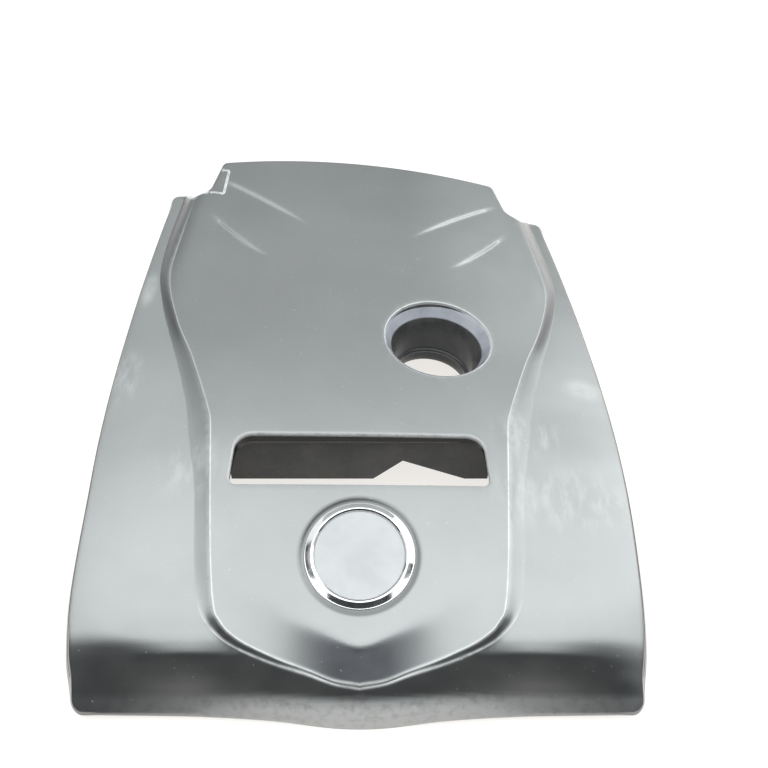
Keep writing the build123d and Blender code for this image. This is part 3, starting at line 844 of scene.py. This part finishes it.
def shade_wall(shape):
    """Notched dark wall behind the slot, rooted in the panel, standing in for the shade seen through the
    slot.
    """
    near = slot_rear + SHADE_WALL_GAP + WALL
    spans = [np.linspace(a, b, 8, endpoint=False) for a, b in zip(SHADE_WALL, SHADE_WALL[1:])]
    x, z_foot = np.vstack(spans + [SHADE_WALL[-1:]]).T
    sheets = []
    for y in (near, near + WALL):
        y = np.full(len(x), y)
        z_root = under_z(x, y) + SHADE_WALL_ROOT
        rows = [shape.add(np.column_stack((x, y, z_foot + (z_root - z_foot) * k)), inner=1.0)
                for k in SHADE_WALL_ROWS]
        shape.loft(rows, is_closed=False)
        sheets.append(rows)
    front, back = sheets
    for end in (0, -1):
        shape.bridge(front[end], back[end], is_closed=False)
    for end in (0, -1):
        shape.bridge([row[end] for row in front], [row[end] for row in back], is_closed=False)


def stud_bosses(shape):
    """Bosses with sockets for the grommets, rooted in the wall."""
    for bx, by, bz in BOSSES:
        rows = []
        for radius, rise in BOSS_PROFILE:
            xy = unit_circle(BOSS_STEPS) * radius + (bx, by)
            z = under_z(*xy.T) + BOSS_ROOT if rise is None else np.full(BOSS_STEPS, bz + rise)
            rows.append(shape.add(np.column_stack((xy, z)), inner=1.0))
        shape.loft(rows)
        shape.faces += [rows[0][::-1], rows[-1]]


def build_cover():
    shape = Shape()
    rim, (slot_edge, well_edge, seat_edge, crack_edge) = cover_top(shape)
    inner_rim, (slot_inner, tube_edge, crack_inner) = cover_inside(shape)
    shape.bridge(crack_edge, crack_inner)
    slot_walls(shape, slot_edge, slot_inner)
    filler_well(shape, well_edge, tube_edge)
    badge_seat(shape, seat_edge)
    skirts(shape, rim, inner_rim)
    shade_wall(shape)
    stud_bosses(shape)
    return shape


def lathe(profile):
    """Shape turned about the badge's axis from (radius, height) points, and its rows."""
    shape = Shape()
    rows = []
    for r, h in profile:
        u, v = (unit_circle(LATHE_STEPS) * r).T
        y = badge_y + v * cos(badge_slope) - h * sin(badge_slope)
        z = badge_z + v * sin(badge_slope) + h * cos(badge_slope)
        rows.append(shape.add(np.column_stack((u, y, z))))
    shape.loft(rows)
    return shape, rows


def build_ring():
    """Bright hoop with a roof-shaped top."""
    width = RING_OUTER - RING_INNER
    top = [(RING_INNER + width * k, -drop) for k, drop in RING_TOP]
    shape, rows = lathe([(RING_INNER, -BADGE_DEPTH)] + top + [(RING_OUTER, -BADGE_DEPTH)])
    shape.bridge(rows[-1], rows[0])
    return shape


def build_disc():
    """Plain disc inside the hoop, its face very slightly domed."""
    profile = [(DISC_RINGS[-1], -BADGE_DEPTH), (DISC_RADIUS - DISC_BEVEL, -BADGE_DEPTH),
               (DISC_RADIUS, -BADGE_DEPTH + DISC_BEVEL)]
    profile += [(DISC_RADIUS - step, DISC_TOP - drop) for step, drop in DISC_EDGE]
    profile += [(r, DISC_TOP - DISC_DOME * (r / DISC_RADIUS) ** 2) for r in DISC_RINGS]
    shape, rows = lathe(profile)
    shape.faces += [rows[0], rows[-1]]
    return shape


def to_object(name, shape):
    """Clean mesh object from a shape, its inner faces in the second material slot."""
    mesh = bpy.data.meshes.new(name)
    mesh.from_pydata([tuple(c * MM for c in v) for v in shape.verts], [], shape.faces)
    # Marks for painted light, read by the materials
    mesh.attributes.new("pale", "FLOAT", "POINT").data.foreach_set("value", shape.pale)
    for face in mesh.polygons:
        face.material_index = int(min(shape.inner[i] for i in face.vertices) > 0.5)
    bm = bmesh.new()
    bm.from_mesh(mesh)
    bmesh.ops.remove_doubles(bm, verts=bm.verts, dist=SAME_VERTEX)
    loose = [v for v in bm.verts if not v.link_faces]
    bmesh.ops.delete(bm, geom=loose, context="VERTS")
    bmesh.ops.recalc_face_normals(bm, faces=bm.faces)
    bm.to_mesh(mesh)
    bm.free()
    mesh.shade_smooth()
    mesh.set_sharp_from_angle(angle=SHARP_ANGLE)
    obj = bpy.data.objects.new(name, mesh)
    bpy.context.scene.collection.objects.link(obj)
    return obj


def put(name, shape, node, material):
    """Adds a piece that takes the place of a CAD node."""
    obj = to_object(name, shape)
    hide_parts(node)
    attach(obj, "root")
    obj.data.materials.append(material)
    return obj


# Materials

class Look:
    """A node material under construction."""

    def __init__(self, name):
        self.material = bpy.data.materials.new(name)
        self.material.use_nodes = True
        self.tree = self.material.node_tree
        self.shader = self.tree.nodes["Principled BSDF"]
        self.where = self.node("ShaderNodeTexCoord").outputs["Object"]

    def feed(self, socket, value):
        """Links a node's output to a socket, or sets a constant there."""
        if isinstance(value, bpy.types.NodeSocket):
            self.tree.links.new(value, socket)
        else:
            socket.default_value = value

    def feed_all(self, node, inputs):
        for key, value in inputs.items():
            self.feed(node.inputs[key.replace("_", " ")], value)

    def set(self, **inputs):
        self.feed_all(self.shader, inputs)

    def node(self, kind, **inputs):
        node = self.tree.nodes.new(kind)
        self.feed_all(node, inputs)
        return node

    def attribute(self, name):
        node = self.node("ShaderNodeAttribute")
        node.attribute_name = name
        return node.outputs["Fac"]

    def noise(self, scale, detail=3.0, rough=0.55, stretch=None):
        where = self.where
        if stretch:
            where = self.node("ShaderNodeMapping", Vector=where, Scale=stretch).outputs["Vector"]
        node = self.node("ShaderNodeTexNoise", Vector=where, Scale=scale, Detail=detail, Roughness=rough)
        return node.outputs["Fac"]

    def span(self, value, low, high, to_low=0.0, to_high=1.0):
        node = self.node("ShaderNodeMapRange", Value=value, From_Min=low, From_Max=high, To_Min=to_low,
                         To_Max=to_high)
        node.interpolation_type = "SMOOTHSTEP"
        return node.outputs["Result"]

    def math(self, kind, *values, clamp=True):
        node = self.node("ShaderNodeMath")
        node.operation = kind
        node.use_clamp = clamp
        for socket, value in zip(node.inputs, values):
            self.feed(socket, value)
        return node.outputs[0]

    def mix(self, factor, *colors):
        node = self.node("ShaderNodeMix")
        node.data_type = "RGBA"
        self.feed(node.inputs["Factor"], factor)
        for socket, color in zip((i for i in node.inputs if i.type == "RGBA"), colors):
            self.feed(socket, (*color, 1) if isinstance(color, tuple) else color)
        return next(o for o in node.outputs if o.type == "RGBA")

    def marked(self, color, name, pattern, mark_color):
        """Colour with a painted mark over it, broken up by a pattern; the marks are wear and painted light.
        """
        return self.mix(self.math("MULTIPLY", self.attribute(name), pattern), color, mark_color)

    def facing_up(self):
        normal = self.node("ShaderNodeNewGeometry").outputs["Normal"]
        return self.node("ShaderNodeSeparateXYZ", Vector=normal).outputs["Z"]


def cover_look():
    look = Look("cover_plastic")
    look.set(IOR=1.95, Coat_Weight=0.5, Coat_IOR=1.6, Coat_Roughness=0.3)
    # Dust with painted sheen: lighter on faces that point up, as if lit from above, and darker on the steep
    # ones
    blotch = look.span(look.noise(9, 4), 0.3, 0.75, 0.85, 1.0)
    settled_and_lit = look.math("MULTIPLY", look.span(look.facing_up(), 0.69, 0.87), blotch)
    color = look.marked(PLASTIC, "dust_and_sheen", settled_and_lit, DUST_SHEEN_COLOR)
    # Painted bluish sheen on the well's chamfer and the keel's facets
    color = look.marked(color, "pale", look.span(look.noise(60, 3), 0.25, 0.65, 0.7, 1.0), PAINTED_SHEEN)
    scratches = look.noise(90, 4, 0.6, (1.0, 0.35, 1.0))
    color = look.marked(color, "scuff", look.span(scratches, 0.42, 0.66), SCRATCHED)
    color = look.marked(color, "rub", look.span(look.noise(70, 5, 0.65), 0.3, 0.6, 0.45, 1.0), RUBBED)
    color = look.mix(look.span(look.noise(420, 1), 0.755, 0.775, 0.0, 0.5), color, SPECK)
    # Painted highlights along the edges, a painted reflection along the lip, and the crack's white line
    color = look.marked(color, "highlights_and_crack", look.span(look.noise(160, 2), 0.2, 0.6, 0.6, 1.0), EDGE_HIGHLIGHT)
    look.set(Base_Color=color, Roughness=look.span(look.noise(45, 4), 0.2, 0.8, 0.34, 0.42))
    grain = look.node("ShaderNodeBump", Height=look.noise(700, 3), Distance=0.00006)
    look.set(Normal=grain.outputs["Normal"])
    return look.material


def mottled_look(name, colors, grain, roughness, rough_grain, shade=None, **settings):
    """Material between two colours and two roughnesses, turned to a painted shade colour on the vertices
    marked for it.
    """
    look = Look(name)
    tint = look.mix(look.span(look.noise(*grain), *MOTTLE), *colors)
    if shade:
        tint = look.mix(look.attribute("pale"), tint, shade)
    rough = look.span(look.noise(*rough_grain), *MOTTLE, *roughness)
    look.set(Base_Color=tint, Roughness=rough, **settings)
    return look.material


def inside_look():
    colors = (0.05, 0.051, 0.053), (0.10, 0.098, 0.095)
    return mottled_look("cover_plastic_inside", colors, (30, 4), (0.22, 0.34), (60, 3), SLOT_SHADE, IOR=1.3)


def chrome_look():
    colors = (0.70, 0.70, 0.71), (0.82, 0.82, 0.82)
    return mottled_look("chrome", colors, (40, 3), (0.07, 0.14), (120, 3), Metallic=1.0)


def silver_look():
    colors = (0.43, 0.445, 0.455), (0.50, 0.51, 0.52)
    return mottled_look("satin_silver", colors, (35, 4), (0.38, 0.48), (200, 3), IOR=1.5)


def rubber_look():
    colors = (0.012, 0.012, 0.013), (0.028, 0.028, 0.029)
    return mottled_look("rubber", colors, (150, 4), (0.55, 0.7), (300, 3), IOR=1.5)


def floor_look():
    """Pale floor that looks white to the camera and keeps the object's shadow."""
    look = Look("floor")
    ray = look.node("ShaderNodeLightPath").outputs
    seen = look.math("MAXIMUM", ray["Is Camera Ray"], ray["Is Transmission Ray"])
    seen = look.math("MULTIPLY", seen, FLOOR_SEEN)
    glow = look.math("MULTIPLY_ADD", ray["Is Glossy Ray"], FLOOR_MIRRORED, seen, clamp=False)
    look.set(Base_Color=(0.25, 0.25, 0.25, 1), Roughness=0.9)
    look.set(Emission_Color=(1.0, 0.97, 0.93, 1), Emission_Strength=glow)
    return look.material


# Dust, wear and painted light, painted on the cover's vertices for its material

def paint(obj, name, values):
    attributes = obj.data.attributes
    layer = attributes.get(name) or attributes.new(name, "FLOAT", "POINT")
    layer.data.foreach_set("value", np.asarray(values, np.float32))


def painted(obj, name):
    values = np.zeros(len(obj.data.vertices), np.float32)
    obj.data.attributes[name].data.foreach_get("value", values)
    return values


def ellipse(x, place, middle, half):
    """1 in the middle of a soft oval patch on the plan, falling to 0 outside it."""
    return np.exp(-((((x - middle[0]) / half[0]) ** 2 + ((place - middle[1]) / half[1]) ** 2) ** 2))


def dust_and_sheen_share(x, y):
    """How much dust with painted sheen lies on the top: more on the flanks and towards the front, with
    painted highlights on the crease steps, painted sheen on the right of the panel, and painted shade in the
    badge's dish, in a patch and on the left of the apron.
    """
    place = y - FRONT
    flank = ~inside(x, y, foot)
    rear, added = (np.where(flank, on_flank, on_panel) for on_flank, on_panel in zip(FLANK_DUST_AND_SHEEN, PANEL_DUST_AND_SHEEN))
    dust_and_light = rear + added * (1 - smooth(place, *DUST_AND_SHEEN_RUN))
    # Painted highlight on the faces of the small rear steps
    dust_and_light += CREASE_HIGHLIGHT * crease_mask(x, y)
    # Painted sheen on the right of the panel
    dust_and_light += RIGHT_SHEEN * smooth(x, *RIGHT_SHEEN_X_RUN) * smooth(place, *RIGHT_SHEEN_RUN) * ~flank
    # Painted shade in the badge's dish
    in_dish = BADGE_DISH + DISH_SHADE_PAST - badge_distance(x, y)
    dust_and_light *= 1 - DISH_SHADE * smooth(in_dish, 0, DISH_SHADE_SOFT)
    # Painted shade in a patch on the right
    patch_shade, middle, half = SHADE_PATCH
    dust_and_light -= patch_shade * ellipse(x, place, middle, half)
    # Painted shade on the left of the apron, below a line that falls towards the shield
    shade_line = SHADE_PLACE + SHADE_CLIMB * smooth(-x, *SHADE_CLIMB_RUN)
    dust_and_light *= 1 - smooth(shade_line + SHADE_SOFT / 2 - place, 0, SHADE_SOFT) * smooth(-x, *SHADE_X_RUN)
    return np.clip(dust_and_light, 0, 1)


def rim_highlight(distance, strength, out, half):
    return strength * bell(distance - out, half)


def highlights_and_crack(x, y, z, depth, to_shoulder, to_foot):
    """Painted highlights along the shield's edges and round the openings, a painted reflection along the
    lip, and the crack's white line.
    """
    place = y - FRONT
    on_skin, near_top = np.abs(depth) < SKIN_DEPTH, depth < RIM_DEPTH
    strength = SHOULDER_HIGHLIGHT - sum(loss * smooth(place, *run) for loss, run in SHOULDER_HIGHLIGHT_LOSS)
    at_shoulder = on_skin * strength * bell(to_shoulder, EDGE_HIGHLIGHT_HALF)
    at_foot = on_skin * FOOT_HIGHLIGHT * (1 - smooth(place, *FOOT_HIGHLIGHT_RUN)) * bell(to_foot, EDGE_HIGHLIGHT_HALF)
    at_slot = near_top * rim_highlight(segment_distance(x, y, closed(slot)), *SLOT_HIGHLIGHT) * ~inside(x, y, slot)
    from_axis = np.hypot((x - WELL_X) / cos(WELL_LEAN), y - well_y)
    at_well = near_top * rim_highlight(from_axis - WELL_RADIUS, *WELL_HIGHLIGHT)
    from_crack = segment_distance(x, y, crack_white_line)
    at_crack = (depth < CRACK_DEPTH) * bell(from_crack, CRACK_WHITE_HALF, CRACK_WHITE_POWER)
    # Painted reflection in a strip along the lip
    at_lip = near_top * (z > LIP_SHEEN_FOOT) * LIP_SHEEN * (1 - smooth(y - lip_y(x), *LIP_SHEEN_RUN))
    at_lip = at_lip * bell(x, np.where(x > 0, LIP_SHEEN_RIGHT, LIP_SHEEN_LEFT))
    return np.maximum.reduce((at_shoulder, at_foot, at_slot, at_well, at_crack, at_lip))


def paint_cover(obj):
    flat = np.empty(len(obj.data.vertices) * 3)
    obj.data.vertices.foreach_get("co", flat)
    x, y, z = flat.reshape(-1, 3).T / MM
    place = y - FRONT
    depth = top_z(x, y) - z
    on_skin = np.abs(depth) < SKIN_DEPTH
    to_shoulder, to_foot, across = edge_lines(x, y)
    # Dust with painted sheen, painted highlights and painted shade on the top
    paint(obj, "dust_and_sheen", dust_and_sheen_share(x, y))
    # Painted faint bluish sheen on the two facets of the keel
    keel_sheen = KEEL_SHEEN * (1 - smooth(np.abs(x), *KEEL_SHEEN_X_RUN)) * smooth(keel_start(x) - place, *KEEL_SHEEN_RUN)
    paint(obj, "pale", np.maximum(painted(obj, "pale"), keel_sheen * (across == 0) * on_skin))
    # Painted highlights along the edges, a painted reflection along the lip, and the crack's white line
    paint(obj, "highlights_and_crack", highlights_and_crack(x, y, z, depth, to_shoulder, to_foot))
    for name, patches in (("scuff", SCUFFS), ("rub", RUBS)):
        marked = [strength * ellipse(x, place, middle, half) for strength, middle, half in patches]
        paint(obj, name, np.maximum.reduce(marked) * on_skin)


# Pieces

cover = put("cover_visual", build_cover(), "cover_shell", cover_look())
cover.data.materials.append(inside_look())
paint_cover(cover)
put("badge_ring_visual", build_ring(), "badge_ring", chrome_look())
put("badge_disc_visual", build_disc(), "badge_disc", silver_look())
rubber = rubber_look()
for name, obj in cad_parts.items():
    if name.startswith("grommet"):
        obj.data.materials.clear()
        obj.data.materials.append(rubber)

# Floor, light and camera

bpy.ops.mesh.primitive_plane_add(size=FLOOR_SIZE)
floor = bpy.context.object
floor.name = "floor"
floor.data.materials.append(floor_look())

scene = bpy.context.scene
world = bpy.data.worlds.new("studio")
scene.world = world
world.use_nodes = True
background = world.node_tree.nodes["Background"].inputs
background["Color"].default_value = (0.9, 0.97, 1.0, 1)
background["Strength"].default_value = 0.06

for name, angle, aside, distance, size, radiance in LAMPS:
    lamp = bpy.data.lights.new(name, "AREA")
    lamp.shape = "RECTANGLE"
    lamp.size, lamp.size_y = size
    lamp.energy = radiance * pi * size[0] * size[1]
    lamp.color = LAMP_COLOR
    obj = bpy.data.objects.new(name, lamp)
    up, out = radians(angle), radians(aside)
    obj.location = LAMP_TARGET + distance * Vector((sin(out), cos(out) * cos(up), cos(out) * sin(up)))
    obj.rotation_euler = (LAMP_TARGET - obj.location).to_track_quat("-Z", "Y").to_euler()
    scene.collection.objects.link(obj)

camera = bpy.data.cameras.new("camera")
camera.sensor_width = SENSOR
camera.lens = SENSOR * FOCAL_PIXELS / PHOTO_PIXELS
camera.shift_x = SHIFT_PIXELS / PHOTO_PIXELS
camera.dof.use_dof = False
view = bpy.data.objects.new("camera", camera)
view.location = CAMERA_PLACE
view.rotation_euler = (radians(CAMERA_TILT), 0, 0)
scene.collection.objects.link(view)
scene.camera = view
scene.view_settings.view_transform = "Standard"
